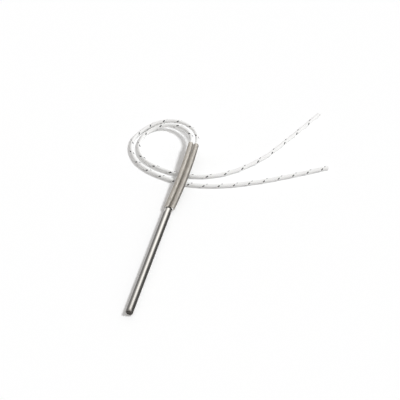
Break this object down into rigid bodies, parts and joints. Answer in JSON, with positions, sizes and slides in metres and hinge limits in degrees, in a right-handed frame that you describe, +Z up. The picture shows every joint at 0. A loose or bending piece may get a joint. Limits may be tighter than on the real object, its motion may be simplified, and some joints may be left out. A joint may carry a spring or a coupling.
{
  "type": "cartridge heater",
  "caption": "Round steel cartridge heater, closed at one end, with a wound element inside and braided leads that leave the other end through coil spring guards.",
  "frame": {"origin": "centre of the closed end of the sheath, on the sheath's axis", "axes": "+Y along the sheath from the closed end to the leads, +X to the right across the pair of leads, +Z up; the heater lies on the plane one sheath radius below the origin"},
  "size_m": [0.2238, 0.335, 0.0136],
  "materials": {
    "polished_steel": "polished",
    "dark_steel": "satin",
    "ceramic": "matte",
    "magnesia": "matte",
    "cement": "matte",
    "resistance_wire": "satin",
    "nickel": "satin",
    "spring_steel": "satin",
    "glass_braid": "woven, with dark tracer marks"
  },
  "bodies": {
    "root": {"sheath": "polished_steel", "end_disc": "dark_steel", "end_insulator": "ceramic", "winding_core": "ceramic", "heating_coil": "resistance_wire", "long_pin": "nickel", "short_pin": "nickel", "powder_fill": "magnesia", "connection_block": "ceramic", "left_crimp": "nickel", "right_crimp": "nickel", "left_conductor": "nickel", "right_conductor": "nickel", "lead_bush": "ceramic", "mouth_seal": "cement", "left_guard": "spring_steel", "right_guard": "spring_steel", "left_lead": "glass_braid", "right_lead": "glass_braid"}
  },
  "joints": []
}
